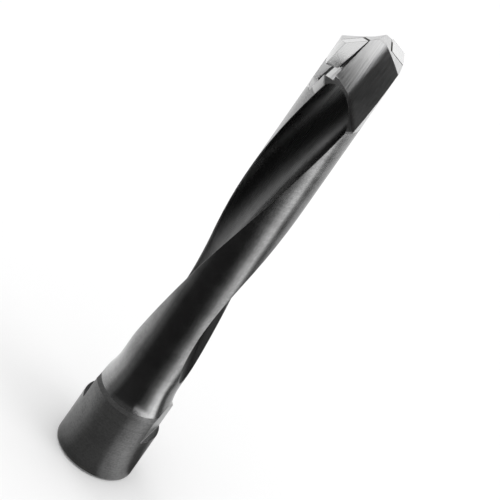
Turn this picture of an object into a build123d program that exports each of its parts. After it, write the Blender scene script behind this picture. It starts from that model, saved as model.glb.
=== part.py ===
from build123d import *
from math import asin, cos, radians, sin, sqrt, tan
import os

# A two-flute cutter for a loose tenon joiner: one steel body with a screw-on collar, and two brazed
# carbide tips. It stands on the collar's flat end, with the origin at that end's centre and +Z along
# the axis to the tip. Lengths are in millimetres. Azimuths are in degrees about +Z, from +X towards
# +Y. The first flute, gash and tip are described, and the second of each is its half turn.

# Overall sizes
overall_length = 124.5
cut_diameter = 14.0
land_relief = 0.1

# Collar, wrench flats and the flare up to the neck
collar_diameter = 17.5
collar_length = 18.5
collar_edge_break = 0.35
shoulder_width = 0.7
flare_length = 6.5
flats_across = 15.0
flats_ledge_height = 11.8
flats_azimuth = -6.6

# Spindle seat in the collar's end: a pilot bore, then a fine thread's core
pilot_diameter = 10.0
pilot_depth = 4.0
pilot_chamfer = 0.4
thread_diameter = 8.0
thread_pitch = 1.0
thread_depth_per_pitch = 0.54125
thread_length = 12.0
drill_point_angle = 118.0

# Helical flutes: full depth from the stop upwards, and below it the grinding wheel's straight run-out
helix_lead = 210.8
web_thickness = 3.0
flute_opening = 94.0
flute_azimuth = -90.0
flute_azimuth_below_point = 20.2
flute_stop_height = 57.0
flute_wheel_radius = 105.0
flute_wheel_angle = 9.7
flute_overrun = 0.6
flute_section_pitch = 3.0

# Gashes of the cutting head: a rake wall and a heel wall that meet in a soft valley
gash_web_thickness = 1.7
gash_azimuth = -57.7
gash_opening = 151.0
gash_valley_offset = 1.35
gash_valley_radius = 2.5
gash_end_below_point = 14.7
gash_end_tilt = 43.9
gash_end_azimuth = -31.7
gash_section_pitch = 3.5

# Carbide tips, whose rake faces lie along the helix
tip_width = 3.65
tip_length = 8.0
tip_thickness = 1.9
tip_rake_offset = 0.0
tip_axial_rake = 11.5
tip_lean_in_plane = 4.8
pocket_length = 15.2
braze_thickness = 0.12
seam_width = 0.35
seam_depth = 0.6

# The ground point
point_angle = 122.0
flank_clearance = 30.3

# How far a cutting tool reaches past the cutter
clear = 16.0

cut_radius = cut_diameter / 2
land_radius = cut_radius - land_relief
collar_radius = collar_diameter / 2
flare_radius = collar_radius - shoulder_width
flare_rise = flare_radius - land_radius
thread_core_radius = thread_diameter / 2 - thread_depth_per_pitch * thread_pitch
turn_rate = 360.0 / helix_lead
flute_azimuth_height = overall_length - flute_azimuth_below_point

# The cutting corner lies on the rake face and on the cutting circle
rake_offset = gash_web_thickness / 2 + tip_rake_offset
corner_reach = sqrt(cut_radius ** 2 - rake_offset ** 2)
lip_slope = tan(radians(90 - point_angle / 2))
clearance_slope = tan(radians(flank_clearance))
corner_height = overall_length - lip_slope * corner_reach + clearance_slope * rake_offset


def turned_plane(height, azimuth, distance=0.0):
    """A level plane at a height, moved out along an azimuth, with its x axis along that azimuth."""
    out = Vector(cos(radians(azimuth)), sin(radians(azimuth)), 0)
    return Plane(origin=out * distance + Vector(0, 0, height), x_dir=out, z_dir=(0, 0, 1))


def levels(bottom, top, pitch):
    """Evenly spaced heights from bottom to top, about a pitch apart."""
    count = max(2, round((top - bottom) / pitch))
    return [bottom + (top - bottom) * i / count for i in range(count + 1)]


def both(shape):
    """A shape and its half turn about the axis."""
    return [shape, shape.rotate(Axis.Z, 180)]


def blank():
    """The turned bar: collar, shoulder, concave flare and straight body, with the bored spindle seat."""
    shoulder_height = collar_length - shoulder_width
    neck_height = collar_length + flare_length
    arc_radius = (flare_length ** 2 + flare_rise ** 2) / (2 * flare_rise)
    half_turn = asin(flare_length / arc_radius) / 2
    arc_middle = (
        land_radius + arc_radius * (1 - cos(half_turn)),
        neck_height - arc_radius * sin(half_turn),
    )
    with BuildPart() as bar:
        with BuildSketch(Plane.XZ):
            with BuildLine():
                Polyline(
                    (land_radius, neck_height),
                    (land_radius, overall_length),
                    (0, overall_length),
                    (0, 0),
                    (collar_radius - collar_edge_break, 0),
                    (collar_radius, collar_edge_break),
                    (collar_radius, shoulder_height),
                    (flare_radius, collar_length),
                )
                ThreePointArc((flare_radius, collar_length), arc_middle, (land_radius, neck_height))
            make_face()
        revolve(axis=Axis.Z)
    return bar.part - spindle_seat()


def spindle_seat():
    """The stepped hole in the collar's end, with a chamfered mouth and a drilled bottom."""
    pilot_radius = pilot_diameter / 2
    thread_end = pilot_depth + thread_length
    drill_depth = thread_core_radius / tan(radians(drill_point_angle / 2))
    with BuildPart() as hole:
        with BuildSketch(Plane.XZ):
            with BuildLine():
                Polyline(
                    (0, 0),
                    (pilot_radius + pilot_chamfer, 0),
                    (pilot_radius, pilot_chamfer),
                    (pilot_radius, pilot_depth),
                    (thread_core_radius, pilot_depth),
                    (thread_core_radius, thread_end),
                    (0, thread_end + drill_depth),
                    close=True,
                )
            make_face()
        revolve(axis=Axis.Z)
    return hole.part


def wrench_flats():
    """Two cutters that leave parallel flats on the collar's upper part and the flare."""
    side = turned_plane(flats_ledge_height, flats_azimuth, flats_across / 2)
    block = Box(clear, 2 * clear, clear, align=(Align.MIN, Align.CENTER, Align.MIN))
    return both(side * block)


def flute_stretch(bottom, top):
    """The first flute between two heights: helical at full depth, or straight and rising below the stop."""
    core = web_thickness / 2
    half_opening = cos(radians(flute_opening / 2))
    radius = (land_radius ** 2 + core ** 2 - 2 * land_radius * core * half_opening) / (
        2 * (land_radius * half_opening - core)
    )
    arc = ThreePointArc((0, -radius), (-radius, 0), (0, radius))
    mouth = Polyline((0, radius), (radius, radius), (radius, -radius), (0, -radius))
    section = make_face(arc + mouth)
    sections = []
    for height in levels(bottom, top, flute_section_pitch):
        below = max(0.0, flute_stop_height - height)
        lift = flute_wheel_radius - sqrt(flute_wheel_radius ** 2 - below ** 2)
        azimuth = flute_azimuth + turn_rate * (height + below - flute_azimuth_height)
        drift = Pos(core + radius + lift, -below * tan(radians(flute_wheel_angle)))
        sections.append(turned_plane(height, azimuth) * drift * section)
    return loft(sections)


def flute():
    """One round-bottomed flute: the grinding wheel's straight run-out, then two stretches of helix."""
    lift_needed = land_radius - web_thickness / 2 + flute_overrun
    run_out = sqrt(flute_wheel_radius ** 2 - (flute_wheel_radius - lift_needed) ** 2)
    middle = (flute_stop_height + corner_height) / 2
    ends = [flute_stop_height - run_out, flute_stop_height, middle, corner_height]
    return [flute_stretch(bottom, top) for bottom, top in zip(ends, ends[1:])]


def gash():
    """One gash of the head, a shallow V carried up the helix from a slanting end."""
    slant_azimuth = radians(gash_end_azimuth)
    slant_angle = radians(gash_end_tilt)
    valley = Vector(gash_web_thickness / 2, gash_valley_offset)
    bend = radians(180 - gash_opening)
    heel_end = valley + Vector(sin(bend), cos(bend)) * clear
    outline = Polyline(
        (valley.X, -clear),
        (valley.X, valley.Y),
        (heel_end.X, heel_end.Y),
        (2 * clear, heel_end.Y),
        (2 * clear, -clear),
        close=True,
    )
    section = make_face(outline)
    section = fillet(section.vertices().sort_by_distance(valley)[0], gash_valley_radius)
    end_height = overall_length - gash_end_below_point
    reach = cut_radius * tan(slant_angle)
    sections = []
    for height in levels(end_height - 2 * reach, overall_length + reach, gash_section_pitch):
        azimuth = gash_azimuth + turn_rate * (height - corner_height)
        sections.append(turned_plane(height, azimuth) * section)
    uphill = Vector(cos(slant_azimuth), sin(slant_azimuth), 0) * sin(slant_angle)
    slant = Plane(origin=(0, 0, end_height), z_dir=uphill + Vector(0, 0, cos(slant_angle)))
    above = slant * Box(4 * clear, 4 * clear, 4 * clear, align=(Align.CENTER, Align.CENTER, Align.MIN))
    return loft(sections) & above


def tip_plane():
    """The rake face at the cutting corner: x inwards across it, y up along it, z out of it."""
    azimuth = radians(gash_azimuth)
    ahead = Vector(cos(azimuth), sin(azimuth), 0)
    outward = Vector(sin(azimuth), -cos(azimuth), 0)
    corner = ahead * rake_offset + outward * corner_reach + Vector(0, 0, corner_height)
    rake = radians(tip_axial_rake)
    lean = radians(tip_lean_in_plane)
    normal = ahead * cos(rake) - Vector(0, 0, sin(rake))
    up = ahead * sin(rake) + Vector(0, 0, cos(rake))
    across = outward * -cos(lean) - up * sin(lean)
    return Plane(origin=corner, x_dir=across, z_dir=normal)


def tip_block(width, length, lowest, highest):
    """A block in the rake face's frame, open outwards and upwards, of a given width and length."""
    outer = clear / 2
    block = Box(
        outer + width,
        outer + length,
        highest - lowest,
        align=(Align.MIN, Align.MIN, Align.MIN),
    )
    return tip_plane() * Pos(-outer, -length, lowest) * block


def point_block():
    """Everything under the two flanks, which meet in the chisel edge."""
    azimuth = radians(gash_azimuth)
    ahead = Vector(cos(azimuth), sin(azimuth), 0)
    outward = Vector(sin(azimuth), -cos(azimuth), 0)
    normal = outward * lip_slope - ahead * clearance_slope + Vector(0, 0, 1)
    flank = Plane(origin=(0, 0, overall_length), z_dir=normal)
    reach = 3 * overall_length
    under = flank * Box(reach, reach, reach, align=(Align.CENTER, Align.CENTER, Align.MAX))
    first, second = both(under)
    return first & second


def round_bar(radius):
    """A plain round bar on the axis, longer than the cutter."""
    return Cylinder(radius, 2 * overall_length)


def cutter_body():
    """The steel body with flutes, gashes, tip pockets, wrench flats and the ground point."""
    pocket = tip_block(
        tip_width + seam_width,
        pocket_length,
        -(tip_thickness + braze_thickness),
        tip_thickness,
    )
    body = blank() & point_block()
    for tool in wrench_flats():
        body = body - tool
    for first_tool in [*flute(), gash(), pocket]:
        for tool in both(first_tool):
            body = body - tool
    return body


def carbide_tip():
    """The first carbide plate, ground to the cutting circle and the flanks with the body."""
    plate = tip_block(tip_width, tip_length, -tip_thickness, 0)
    return plate & round_bar(cut_radius) & point_block()


def braze_layer():
    """The solder under the first plate and in the seam at its inner edge, a little below flush."""
    filled = tip_block(
        tip_width + seam_width,
        tip_length,
        -(tip_thickness + braze_thickness),
        -seam_depth,
    )
    plate = tip_block(tip_width, tip_length, -tip_thickness, 0)
    return (filled - plate) & round_bar(land_radius) & point_block()


def write(name, shape):
    """Write one named piece as a STEP file of its solids."""
    solids = shape.solids()
    for solid in solids:
        solid.label = name
    export_step(solids[0] if len(solids) == 1 else Compound(children=solids), f"parts/{name}.step")
    print(name, len(solids), "solid", round(sum(solid.volume for solid in solids), 2), "mm3")


os.makedirs("parts", exist_ok=True)
write("cutter_body", cutter_body())
for number, (tip, braze) in enumerate(zip(both(carbide_tip()), both(braze_layer())), start=1):
    write(f"carbide_tip_{number}", tip)
    write(f"braze_{number}", braze)
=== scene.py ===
import bpy
from math import cos, pi, radians, sin, tan
from types import SimpleNamespace
from mathutils import Matrix, Vector


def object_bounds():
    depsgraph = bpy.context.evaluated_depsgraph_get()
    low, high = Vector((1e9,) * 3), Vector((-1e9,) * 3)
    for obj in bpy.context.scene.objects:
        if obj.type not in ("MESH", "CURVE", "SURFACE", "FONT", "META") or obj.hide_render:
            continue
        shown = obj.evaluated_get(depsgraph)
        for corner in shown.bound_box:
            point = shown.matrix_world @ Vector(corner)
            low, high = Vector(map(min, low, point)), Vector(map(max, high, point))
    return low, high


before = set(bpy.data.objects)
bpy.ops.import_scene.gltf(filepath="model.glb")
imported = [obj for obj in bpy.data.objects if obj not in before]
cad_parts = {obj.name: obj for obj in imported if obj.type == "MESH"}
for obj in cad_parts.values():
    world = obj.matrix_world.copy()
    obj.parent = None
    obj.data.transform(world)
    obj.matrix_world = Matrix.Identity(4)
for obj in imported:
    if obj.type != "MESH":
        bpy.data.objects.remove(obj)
cad_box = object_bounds()

# Sizes and places on the cutter, in metres. Azimuths are about +Z, from +X towards +Y.
CUTTER_LENGTH = cad_box[1][2]
COLLAR_TOP = 0.0185
FLARE_TOP = 0.025
LAND_RADIUS = 0.0069
HELIX_LEAD = 0.2108
FLAT_REACH = 0.0075
FLAT_BOTTOM = 0.0118
FLAT_AZIMUTH = radians(-6.6)
THREAD_RADIUS = 0.0036
THREAD_BOTTOM = 0.004
THREAD_TOP = 0.016
THREAD_PITCH = 0.001
THREAD_DEPTH = 0.0005

# The ground head, where each gash ends below in a slanting face
GASH_AZIMUTH = radians(-57.7)
HEAD_END = CUTTER_LENGTH - 0.0147
HEAD_TILT = radians(43.9)
HEAD_AZIMUTH = radians(-31.7)
HEAD_LAND_BOTTOM = 0.1072

# The cutting corner of the first tooth and its pocket, from the gash's rake face
CORNER_HEIGHT = CUTTER_LENGTH - 0.00335
CORNER_REACH = 0.00695
RAKE_OFFSET = 0.00085
TIP_RAKE = radians(11.5)
TIP_LEAN = radians(4.8)
TIP_LENGTH = 0.0080
POCKET_WIDTH = 0.0040
POCKET_DEPTH = 0.00202
POCKET_BOTTOM = 0.1055
SILL_TOP = 0.1070

# Where one finish of the steel gives way to the next, and where painted highlights and painted shade
# on it begin and end
MARGIN = 0.00004
SHANK_START = FLARE_TOP - 0.004
SHANK_FULL = FLARE_TOP + 0.006
# Painted shade: the flutes are painted darker towards the bottom of their run-out, between these
# heights
RUNOUT_SHADE_FULL = 0.041
RUNOUT_SHADE_START = 0.061
# The width of the painted highlight along the flutes' edges
FLUTE_EDGE_HIGHLIGHT_WIDTH = 0.00032
LEVEL_START = 0.9
LEVEL_FULL = 0.95
# Where the painted shade in the corner of each pocket begins and where it is full
CORNER_SHADE_START = 0.6 * POCKET_DEPTH
CORNER_SHADE_FULL = 0.7 * POCKET_DEPTH

# The steel's greys and roughness, each pair at the low and the high end of a pattern
FLARE_GREYS = (0.50, 0.66)
SHANK_GREYS = (0.32, 0.50)
COLLAR_GREYS = (0.23, 0.34)
# The milled flats' own lighter grey, also used for a painted highlight along their edges
FLAT_AND_EDGE_HIGHLIGHT_GREYS = (0.42, 0.56)
FLUTE_GREYS = (0.07, 0.27)
# Painted highlight: a light grey along the flutes' edges
FLUTE_EDGE_HIGHLIGHT_GREY = 0.6
# Painted shade: near-black greys for the flutes' run-out
RUNOUT_SHADE_GREYS = (0.015, 0.05)
HEAD_GREYS = (0.58, 1.0)
# Painted light: the pockets' steel is painted pale to stand in for the bright reflection in them
POCKET_PAINTED_LIGHT_GREYS = (0.85, 1.0)
# Painted shade: the pockets' inner walls painted near black beside the plates and in the corner with
# the floor
SEAM_SHADE_GREYS = (0.01, 0.10)
FLARE_ROUGH = 0.14
SHANK_ROUGH = (0.18, 0.28)
COLLAR_ROUGH = 0.30
FLAT_ROUGH = 0.30
FLUTE_ROUGH = (0.20, 0.36)
HEAD_ROUGH = (0.28, 0.40)
POCKET_ROUGH = 0.85
COLLAR_METAL = 0.92
POCKET_METAL = 0.1

# How fine the steel's patterns are, in features a metre, and how deep they are
RING_SCALES = (60.0, 9000.0, 9000.0)
FLUTE_LINE_SCALES = (2600.0, 0.0, 90.0)
STREAK_SCALES = (2600.0, 2600.0, 120.0)
CLOUD_SCALE = 260.0
GRAIN_SCALE = 2400.0
GRAIN_SHARE = 0.4
MOTTLE_LOW = 0.36
MOTTLE_HIGH = 0.64
STEEL_RELIEF = 0.00001
RING_RELIEF = 0.4
STREAK_RELIEF = 4.0
STEEL_EDGE = 0.00012

# The carbide plates and their solder
CARBIDE_GREYS = (0.82, 0.96)
CARBIDE_ROUGH = (0.20, 0.30)
CARBIDE_LINE_SCALES = (500.0, 500.0, 8000.0)
CARBIDE_GRAIN_SCALE = 6000.0
CARBIDE_RELIEF = 0.000006
CARBIDE_EDGE = 0.00008
BRAZE_DARK = (0.015, 0.014, 0.012)
BRAZE_LIGHT = (0.07, 0.062, 0.05)
BRAZE_ROUGH = (0.45, 0.7)
BRAZE_LUMP_SCALE = 2500.0
BRAZE_RELIEF = 0.00003
BRAZE_EDGE = 0.00005

# The photograph's view: from the front, above, and rolled so that the tip points up to the right
CAMERA_ELEVATION = radians(35.2)
CAMERA_ROLL = radians(35.0)
CAMERA_DISTANCE = 3.0
CAMERA_AIM = Vector((0.00266, 0.0, 0.0632))
CAMERA_CLIP_START = 0.1
CAMERA_CLIP_END = 20.0
PICTURE_WIDTH = 0.1010
SENSOR_WIDTH = 36.0

# A pale room with a white floor and two weak softboxes
FLOOR_REACH = 3.0
FLOOR_GREY = 0.9
MATT_ROUGH = 0.9
ROOM_STRENGTH = 1.0
SOFTBOX_PLACES = [("left_softbox", (-0.6, 0.5, 0.6)), ("right_softbox", (0.6, -0.15, 0.4))]
SOFTBOX_AIM = (0, 0, 0.06)
SOFTBOX_SIZE = (0.4, 0.5)
SOFTBOX_POWER = 1.0

# How much of the pale room a dark studio screen takes out of the reflections, by azimuth in degrees
COLLAR_SHADES = [
    (-180, 0.45), (-160, 0.62), (-140, 0.86), (-126, 0.96), (-70, 0.96), (-56, 0.62), (-30, 0.36),
    (-15, 0.5), (-2, 0.98), (20, 0.98), (36, 0.6), (60, 0.2), (120, 0.1), (180, 0.45),
]
NEAR_SHADES = [
    (-180, 0.52), (-152, 0.88), (-125, 0.985), (-66, 0.992), (-50, 0.94), (-38, 0.82), (-24, 0.36),
    (-14, 0.0), (-7, 0.0), (5, 0.93), (14, 0.93), (28, 0.64), (78, 0.3), (120, 0.14), (150, 0.26),
    (180, 0.52),
]
FAR_SHADES = [
    (-180, 0.3), (-150, 0.88), (-130, 0.985), (-73, 0.985), (-56, 0.5), (-40, 0.1), (-20, 0.0),
    (90, 0.0), (180, 0.3),
]
STANDING_SHADES = [
    (-180, 0.85), (-150, 0.88), (-125, 0.94), (-60, 0.94), (0, 0.9), (14, 0.94), (25, 0.94), (34, 0.0),
    (60, 0.0), (70, 0.96), (101, 0.96), (108, 0.1), (121, 0.1), (130, 0.85), (180, 0.85),
]
CEILING_SHADES = [(-180, 0.75), (180, 0.75)]

# The radius and height where one band of the screen meets the next, from the collar out and up
SCREEN_FOOT = 0.0005
SCREEN_TOP = 0.9
COLLAR_RIM = (0.0088, SCREEN_FOOT)
NEAR_RIM = (0.034, SCREEN_FOOT)
FAR_RIM = (0.158, SCREEN_FOOT)
WALL_BOTTOM = (0.45, SCREEN_FOOT)
WALL_TOP = (0.45, SCREEN_TOP)
CEILING_CENTRE = (0.001, SCREEN_TOP)
SCREEN_BANDS = [
    ("collar_screen", COLLAR_RIM, NEAR_RIM, COLLAR_SHADES),
    ("near_screen", NEAR_RIM, FAR_RIM, NEAR_SHADES),
    ("far_screen", FAR_RIM, WALL_BOTTOM, FAR_SHADES),
    ("standing_screen", WALL_BOTTOM, WALL_TOP, STANDING_SHADES),
    ("ceiling_screen", WALL_TOP, CEILING_CENTRE, CEILING_SHADES),
]
SCREEN_GREY = 0.008
SCREEN_SIDES = 90

BLACK = (0.0, 0.0, 0.0)
WHITE = (1.0, 1.0, 1.0)


def add_camera():
    """A long lens on the front side, so the view is almost parallel."""
    data = bpy.data.cameras.new("camera")
    data.sensor_fit = "HORIZONTAL"
    data.sensor_width = SENSOR_WIDTH
    data.lens = SENSOR_WIDTH * CAMERA_DISTANCE / PICTURE_WIDTH
    data.clip_start = CAMERA_CLIP_START
    data.clip_end = CAMERA_CLIP_END
    camera = bpy.data.objects.new("camera", data)
    back = Vector((0, -cos(CAMERA_ELEVATION), sin(CAMERA_ELEVATION)))
    right = Vector((1, 0, 0))
    up = back.cross(right)
    rolled_right = right * cos(CAMERA_ROLL) + up * sin(CAMERA_ROLL)
    rolled_up = up * cos(CAMERA_ROLL) - right * sin(CAMERA_ROLL)
    turn = Matrix((rolled_right, rolled_up, back)).transposed()
    camera.matrix_world = Matrix.Translation(CAMERA_AIM + back * CAMERA_DISTANCE) @ turn.to_4x4()
    bpy.context.scene.collection.objects.link(camera)
    bpy.context.scene.camera = camera


class Nodes:
    """Adds nodes to one material, and wires numbers or sockets into them."""

    def __init__(self, name):
        self.material = bpy.data.materials.new(name)
        self.material.use_nodes = True
        self.tree = self.material.node_tree
        self.shader = self.tree.nodes["Principled BSDF"]

    def put(self, socket, value):
        if isinstance(value, bpy.types.NodeSocket):
            self.tree.links.new(value, socket)
        elif value is not None:
            socket.default_value = value

    def add(self, kind, **settings):
        node = self.tree.nodes.new(kind)
        for key, value in settings.items():
            setattr(node, key, value)
        return node

    def math(self, operation, a, b=None, c=None):
        node = self.add("ShaderNodeMath", operation=operation)
        for socket, value in zip(node.inputs, (a, b, c)):
            self.put(socket, value)
        return node.outputs[0]

    def product(self, value, *others):
        """All the values multiplied together."""
        for other in others:
            value = self.math("MULTIPLY", value, other)
        return value

    def ramp(self, value, low, high):
        """0 up to low and 1 from high on, smooth between them. It falls where high is the lower."""
        node = self.add("ShaderNodeMapRange", interpolation_type="SMOOTHSTEP", clamp=True)
        for socket, number in zip(node.inputs, (value, low, high, 0.0, 1.0)):
            self.put(socket, number)
        return node.outputs["Result"]

    def between(self, value, low, high):
        """1 from low to high and 0 outside, with soft steps one margin wide."""
        return self.product(self.ramp(value, low - MARGIN, low), self.ramp(value, high + MARGIN, high))

    def blend(self, share, a, b):
        """From number a to number b as share goes from 0 to 1."""
        node = self.add("ShaderNodeMix", data_type="FLOAT")
        factor, a_number, b_number = node.inputs[0], node.inputs[2], node.inputs[3]
        self.put(factor, share)
        self.put(a_number, a)
        self.put(b_number, b)
        return node.outputs[0]

    def tint(self, share, a, b):
        """From colour a to colour b as share goes from 0 to 1."""
        node = self.add("ShaderNodeMix", data_type="RGBA")
        factor, a_colour, b_colour = node.inputs[0], node.inputs[6], node.inputs[7]
        self.put(factor, share)
        self.put(a_colour, (*a, 1))
        self.put(b_colour, (*b, 1))
        return node.outputs[2]

    def vector(self, x, y, z):
        node = self.add("ShaderNodeCombineXYZ")
        for socket, value in zip(node.inputs, (x, y, z)):
            self.put(socket, value)
        return node.outputs[0]

    def noise(self, place, scale=1.0, detail=2.0):
        node = self.add("ShaderNodeTexNoise", noise_dimensions="3D")
        self.put(node.inputs["Vector"], place)
        self.put(node.inputs["Scale"], scale)
        self.put(node.inputs["Detail"], detail)
        return node.outputs["Fac"]

    def stretched(self, place, scales, detail=2.0):
        """Noise that is finer or coarser along each axis, by features a metre."""
        scaled = [self.math("MULTIPLY", value, scale) for value, scale in zip(place, scales)]
        return self.noise(self.vector(*scaled), detail=detail)

    def position(self):
        """x, y and z on the part, in metres."""
        split = self.add("ShaderNodeSeparateXYZ")
        self.put(split.inputs[0], self.add("ShaderNodeTexCoord").outputs["Object"])
        return tuple(split.outputs)

    def radius(self, x, y):
        """How far a place lies from the axis."""
        return self.math("SQRT", self.math("MULTIPLY_ADD", x, x, self.math("MULTIPLY", y, y)))

    def towards(self, x, y, azimuth):
        """How far a place lies from the axis in the direction of an azimuth."""
        return self.math("MULTIPLY_ADD", x, cos(azimuth), self.math("MULTIPLY", y, sin(azimuth)))

    def facing_up(self):
        """1 where the surface faces straight up, 0 where it stands upright."""
        split = self.add("ShaderNodeSeparateXYZ")
        self.put(split.inputs[0], self.add("ShaderNodeNewGeometry").outputs["True Normal"])
        return split.outputs[2]

    def coat(self, value, coats):
        """Lay coats over a value, each with where it lies, its pattern and the pattern's two ends."""
        for share, pattern, ends in coats:
            value = self.blend(share, value, self.blend(pattern, *ends))
        return value

    def matt(self, grey):
        """One even grey without gloss."""
        self.put(self.shader.inputs["Base Color"], (grey, grey, grey, 1))
        self.put(self.shader.inputs["Roughness"], MATT_ROUGH)
        self.put(self.shader.inputs["Specular IOR Level"], 0.0)

    def finish(self, colour, roughness, relief, depth, edge, metal=1.0):
        """Wire the colour, the roughness and a relief on softly rounded edges into the shader."""
        self.put(self.shader.inputs["Base Color"], colour)
        self.put(self.shader.inputs["Roughness"], roughness)
        rounded = self.add("ShaderNodeBevel", samples=6)
        self.put(rounded.inputs["Radius"], edge)
        bump = self.add("ShaderNodeBump")
        self.put(bump.inputs["Height"], relief)
        self.put(bump.inputs["Distance"], depth)
        self.put(bump.inputs["Normal"], rounded.outputs[0])
        self.put(self.shader.inputs["Normal"], bump.outputs[0])
        self.put(self.shader.inputs["Metallic"], metal)
        return self.material


def gash_zone(n, x, y, z):
    """The two gashes, above the slanting faces that they end in."""
    side = n.math("SIGN", n.towards(x, y, GASH_AZIMUTH))
    rise = n.math("MULTIPLY", n.towards(x, y, HEAD_AZIMUTH), tan(HEAD_TILT))
    above = n.math("MULTIPLY_ADD", rise, side, n.math("SUBTRACT", z, HEAD_END))
    return n.ramp(above, 0.0, 2 * MARGIN)


def pocket_zones(n, x, y, z):
    """The two tip pockets, and the painted shade on each pocket's inner wall: a dark line beside the
    plate and in the corner with the floor.
    """
    ahead = n.towards(x, y, GASH_AZIMUTH)
    out = n.towards(x, y, GASH_AZIMUTH - pi / 2)

    # Depth, height and width in each pocket's own slant, from its own tooth's cutting corner
    from_rake = n.math("MULTIPLY_ADD", ahead, n.math("SIGN", out), -RAKE_OFFSET)
    from_corner = n.math("SUBTRACT", z, CORNER_HEIGHT)
    fall = n.math("MULTIPLY", from_corner, -sin(TIP_RAKE))
    depth = n.math("MULTIPLY_ADD", from_rake, cos(TIP_RAKE), fall)
    climb = n.math("MULTIPLY", from_corner, cos(TIP_RAKE))
    up = n.math("MULTIPLY_ADD", from_rake, sin(TIP_RAKE), climb)
    inwards = n.math("SUBTRACT", CORNER_REACH, n.math("ABSOLUTE", out))
    sideways = n.math("MULTIPLY", up, -sin(TIP_LEAN))
    inwards = n.math("MULTIPLY_ADD", inwards, cos(TIP_LEAN), sideways)

    deep = n.between(depth, -POCKET_DEPTH - MARGIN, -MARGIN)
    wide = n.ramp(inwards, POCKET_WIDTH + 3 * MARGIN, POCKET_WIDTH + 2 * MARGIN)
    high = n.ramp(z, POCKET_BOTTOM, POCKET_BOTTOM + MARGIN)
    pocket = n.product(deep, wide, high)
    level = n.ramp(n.facing_up(), LEVEL_START, LEVEL_FULL)
    sill = n.product(n.between(z, POCKET_BOTTOM, SILL_TOP), level)

    # The wall is painted dark as shade beside the plate, and below the plate only in the corner with
    # the floor
    beside = n.ramp(up, -TIP_LENGTH - MARGIN, -TIP_LENGTH)
    corner = n.ramp(depth, -CORNER_SHADE_START, -CORNER_SHADE_FULL)
    wall = n.ramp(inwards, POCKET_WIDTH - 2 * MARGIN, POCKET_WIDTH - MARGIN)
    seam = n.product(pocket, wall, n.math("MAXIMUM", beside, corner))
    return n.math("MAXIMUM", pocket, sill), seam


def steel_zones(n, x, y, z):
    """Where each finish of the steel lies, and where light and shade are painted on it, as 0 to 1."""
    zone = SimpleNamespace()
    radius = n.radius(x, y)
    inside = n.ramp(radius, LAND_RADIUS - MARGIN, LAND_RADIUS - 2 * MARGIN)
    outside = n.math("SUBTRACT", 1.0, inside)
    zone.collar = n.ramp(z, COLLAR_TOP + 2 * MARGIN, COLLAR_TOP + MARGIN)
    zone.shank = n.ramp(z, SHANK_START, SHANK_FULL)
    # The band takes in the milled flat and a thin strip of the round faces along its edge: the flat is
    # a lighter milled face, and the strip is a painted highlight
    flat_reach = n.math("ABSOLUTE", n.towards(x, y, FLAT_AZIMUTH))
    flat = n.between(flat_reach, FLAT_REACH - MARGIN, FLAT_REACH + MARGIN)
    zone.flat = n.product(flat, n.between(z, FLAT_BOTTOM, FLARE_TOP))
    bore = n.ramp(radius, THREAD_RADIUS, THREAD_RADIUS - MARGIN)
    zone.thread = n.product(bore, zone.collar, n.between(z, THREAD_BOTTOM, THREAD_TOP))

    pocket, zone.seam = pocket_zones(n, x, y, z)
    # The pockets are painted pale, rough and nearly non-metallic: painted light for the bright
    # reflection in them
    zone.pocket = n.product(pocket, inside)
    rim = n.product(n.ramp(z, HEAD_LAND_BOTTOM, HEAD_LAND_BOTTOM + MARGIN), outside)
    ground = n.math("MAXIMUM", gash_zone(n, x, y, z), zone.pocket)
    zone.head = n.math("MAXIMUM", ground, rim)

    neck = n.ramp(z, FLARE_TOP, FLARE_TOP + MARGIN)
    zone.flute = n.product(inside, n.math("SUBTRACT", 1.0, zone.head), neck)
    # Painted highlight: a thin light band inside the flutes along their edges
    edge = n.between(radius, LAND_RADIUS - FLUTE_EDGE_HIGHLIGHT_WIDTH, LAND_RADIUS - 2 * MARGIN)
    zone.flute_edge = n.product(zone.flute, edge)
    # Painted shade: the flutes' run-out is painted near black, darker towards the bottom
    zone.runout = n.product(zone.flute, n.ramp(z, RUNOUT_SHADE_START, RUNOUT_SHADE_FULL))
    return zone


def steel_marks(n, x, y, z):
    """Grinding marks and mottling, as 0 to 1, and the thread's ridges in steps of the relief."""
    mark = SimpleNamespace()
    radius = n.radius(x, y)
    azimuth = n.math("ARCTAN2", y, x)
    around = n.math("MULTIPLY", azimuth, LAND_RADIUS)
    helix = n.math("MULTIPLY_ADD", z, -2 * pi / HELIX_LEAD * LAND_RADIUS, around)
    mark.rings = n.stretched((around, radius, z), RING_SCALES)
    mark.along = n.stretched((helix, radius, z), FLUTE_LINE_SCALES)
    mark.streaks = n.stretched((x, y, z), STREAK_SCALES, detail=3.0)
    mark.cloud = n.noise(n.vector(x, y, z), scale=CLOUD_SCALE, detail=4.0)
    grain = n.noise(n.vector(x, y, z), scale=GRAIN_SCALE)
    mottle = n.blend(GRAIN_SHARE, n.blend(0.5, mark.rings, mark.cloud), grain)
    mark.mottle = n.ramp(mottle, MOTTLE_LOW, MOTTLE_HIGH)
    turn = n.math("MULTIPLY_ADD", azimuth, -THREAD_PITCH / (2 * pi), z)
    ridges = n.math("PINGPONG", turn, THREAD_PITCH / 2)
    mark.ridges = n.math("MULTIPLY", ridges, THREAD_DEPTH / STEEL_RELIEF * 2 / THREAD_PITCH)
    return mark


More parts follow.
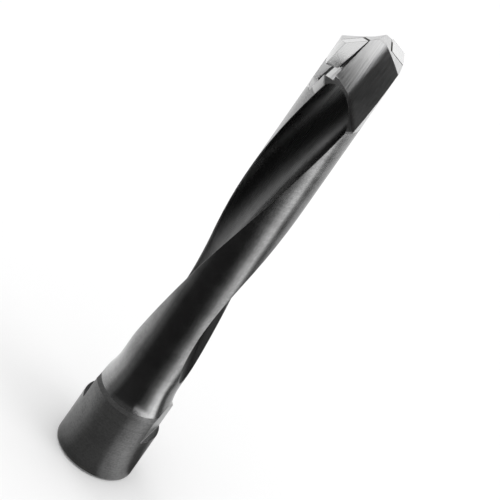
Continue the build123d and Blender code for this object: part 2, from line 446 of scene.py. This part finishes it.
def steel_grey(n, zone, mark):
    """The steel's grey, zone over zone, with painted highlights and painted shade among the zones."""
    flute_pattern = n.blend(0.5, mark.along, mark.cloud)
    return n.coat(n.blend(mark.mottle, *FLARE_GREYS), [
        (zone.shank, mark.mottle, SHANK_GREYS),
        (zone.collar, mark.mottle, COLLAR_GREYS),
        # the milled flats, with a painted highlight along their edges
        (zone.flat, mark.streaks, FLAT_AND_EDGE_HIGHLIGHT_GREYS),
        (zone.flute, flute_pattern, FLUTE_GREYS),
        # painted highlight along the flutes' edges
        (zone.flute_edge, flute_pattern, (FLUTE_EDGE_HIGHLIGHT_GREY, FLUTE_EDGE_HIGHLIGHT_GREY)),
        # painted shade at the flutes' run-out
        (zone.runout, mark.along, RUNOUT_SHADE_GREYS),
        (zone.head, mark.streaks, HEAD_GREYS),
        # painted light: the pockets painted pale
        (zone.pocket, mark.cloud, POCKET_PAINTED_LIGHT_GREYS),
        # painted shade inside the pockets
        (zone.seam, mark.cloud, SEAM_SHADE_GREYS),
    ])


def steel_roughness(n, zone, mark):
    """The steel's roughness, zone over zone."""
    rough = n.blend(zone.shank, FLARE_ROUGH, n.blend(mark.cloud, *SHANK_ROUGH))
    rough = n.blend(zone.collar, rough, COLLAR_ROUGH)
    rough = n.blend(zone.flat, rough, FLAT_ROUGH)
    rough = n.coat(rough, [
        (zone.flute, mark.along, FLUTE_ROUGH),
        (zone.head, mark.streaks, HEAD_ROUGH),
    ])
    return n.blend(zone.pocket, rough, POCKET_ROUGH)


def steel_relief(n, zone, mark):
    """Fine rings on turned faces, lines in the flutes and up the head, and ridges in the thread."""
    lines = n.blend(zone.flute, n.math("MULTIPLY", mark.rings, RING_RELIEF), mark.along)
    lines = n.blend(zone.head, lines, n.math("MULTIPLY", mark.streaks, STREAK_RELIEF))
    return n.blend(zone.thread, lines, mark.ridges)


def steel_material():
    """Satin collar, polished land, dark flutes and a bright ground head, with pale pockets as painted
    light and other painted highlights and shade.
    """
    n = Nodes("cutter_steel")
    x, y, z = n.position()
    zone = steel_zones(n, x, y, z)
    mark = steel_marks(n, x, y, z)
    colour = n.tint(steel_grey(n, zone, mark), BLACK, WHITE)
    rough = steel_roughness(n, zone, mark)
    relief = steel_relief(n, zone, mark)
    metal = n.blend(zone.collar, 1.0, COLLAR_METAL)
    metal = n.blend(zone.pocket, metal, POCKET_METAL)
    return n.finish(colour, rough, relief, STEEL_RELIEF, STEEL_EDGE, metal)


def carbide_material():
    """Fine ground carbide, pale grey, with faint grinding lines across the plates."""
    n = Nodes("ground_carbide")
    x, y, z = n.position()
    lines = n.stretched((x, y, z), CARBIDE_LINE_SCALES)
    grain = n.noise(n.vector(x, y, z), scale=CARBIDE_GRAIN_SCALE, detail=3.0)
    colour = n.tint(n.blend(n.blend(0.5, lines, grain), *CARBIDE_GREYS), BLACK, WHITE)
    return n.finish(colour, n.blend(lines, *CARBIDE_ROUGH), lines, CARBIDE_RELIEF, CARBIDE_EDGE)


def braze_material():
    """Dull solder, darkened by heat and slightly lumpy."""
    n = Nodes("dull_braze")
    lumps = n.noise(n.vector(*n.position()), scale=BRAZE_LUMP_SCALE, detail=4.0)
    colour = n.tint(lumps, BRAZE_DARK, BRAZE_LIGHT)
    return n.finish(colour, n.blend(lumps, *BRAZE_ROUGH), lumps, BRAZE_RELIEF, BRAZE_EDGE)


def dress(piece, material):
    """Put one material on every slot of a piece."""
    if not piece.material_slots:
        piece.data.materials.append(material)
    for slot in piece.material_slots:
        slot.material = material


def add_stage(name, points, faces, material):
    """A surface that belongs to the studio."""
    mesh = bpy.data.meshes.new(name)
    mesh.from_pydata(points, [], faces)
    stage = bpy.data.objects.new(name, mesh)
    bpy.context.scene.collection.objects.link(stage)
    dress(stage, material)
    return stage


def add_floor():
    """The pale ground that the cutter stands on."""
    reach = FLOOR_REACH
    corners = [(-reach, -reach, 0), (reach, -reach, 0), (reach, reach, 0), (-reach, reach, 0)]
    n = Nodes("floor_white")
    n.matt(FLOOR_GREY)
    add_stage("floor", corners, [(0, 1, 2, 3)], n.material)


def screen_material(name, screen_shades):
    """Matt black that lets more or less of the room through, by azimuth about the cutter."""
    n = Nodes(name)
    n.matt(SCREEN_GREY)
    x, y = n.position()[:2]
    turns = n.math("MULTIPLY_ADD", n.math("ARCTAN2", y, x), 1 / (2 * pi), 0.5)
    shades = n.add("ShaderNodeValToRGB")
    shades.color_ramp.interpolation = "EASE"
    while len(shades.color_ramp.elements) < len(screen_shades):
        shades.color_ramp.elements.new(0.5)
    for element, (turn, shade) in zip(shades.color_ramp.elements, screen_shades):
        element.position = turn / 360 + 0.5
        element.color = (shade, shade, shade, 1)
    n.put(shades.inputs[0], turns)
    n.put(n.shader.inputs["Alpha"], shades.outputs[0])
    return n.material


def add_screen(name, start, stop, screen_shades):
    """A band of screen turned about the axis from one radius and height to another.

    Only reflections see it.
    """
    points, faces = [], []
    for i in range(SCREEN_SIDES):
        turn = 2 * pi * i / SCREEN_SIDES
        points += [(r * cos(turn), r * sin(turn), z) for r, z in (start, stop)]
        here = 2 * i
        beyond = (2 * i + 2) % (2 * SCREEN_SIDES)
        faces.append((here, here + 1, beyond + 1, beyond))
    screen = add_stage(name, points, faces, screen_material(name, screen_shades))
    screen.visible_camera = False
    screen.visible_diffuse = False
    screen.visible_transmission = False
    screen.visible_shadow = False


def add_softbox(name, place):
    """A rectangular lamp that faces the cutter's middle."""
    data = bpy.data.lights.new(name, "AREA")
    data.shape = "RECTANGLE"
    data.size, data.size_y = SOFTBOX_SIZE
    data.energy = SOFTBOX_POWER
    lamp = bpy.data.objects.new(name, data)
    direction = Vector(SOFTBOX_AIM) - Vector(place)
    lamp.location = place
    lamp.rotation_euler = direction.to_track_quat("-Z", "Y").to_euler()
    bpy.context.scene.collection.objects.link(lamp)


def add_room():
    """White light from all round."""
    world = bpy.data.worlds.new("room")
    world.use_nodes = True
    background = world.node_tree.nodes["Background"]
    background.inputs["Color"].default_value = (*WHITE, 1)
    background.inputs["Strength"].default_value = ROOM_STRENGTH
    bpy.context.scene.world = world


add_camera()
add_floor()
for band in SCREEN_BANDS:
    add_screen(*band)
add_room()
for softbox in SOFTBOX_PLACES:
    add_softbox(*softbox)

dress(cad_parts["cutter_body"], steel_material())
carbide = carbide_material()
braze = braze_material()
for number in (1, 2):
    dress(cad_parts[f"carbide_tip_{number}"], carbide)
    dress(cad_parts[f"braze_{number}"], braze)

bpy.context.scene.view_settings.view_transform = "Standard"
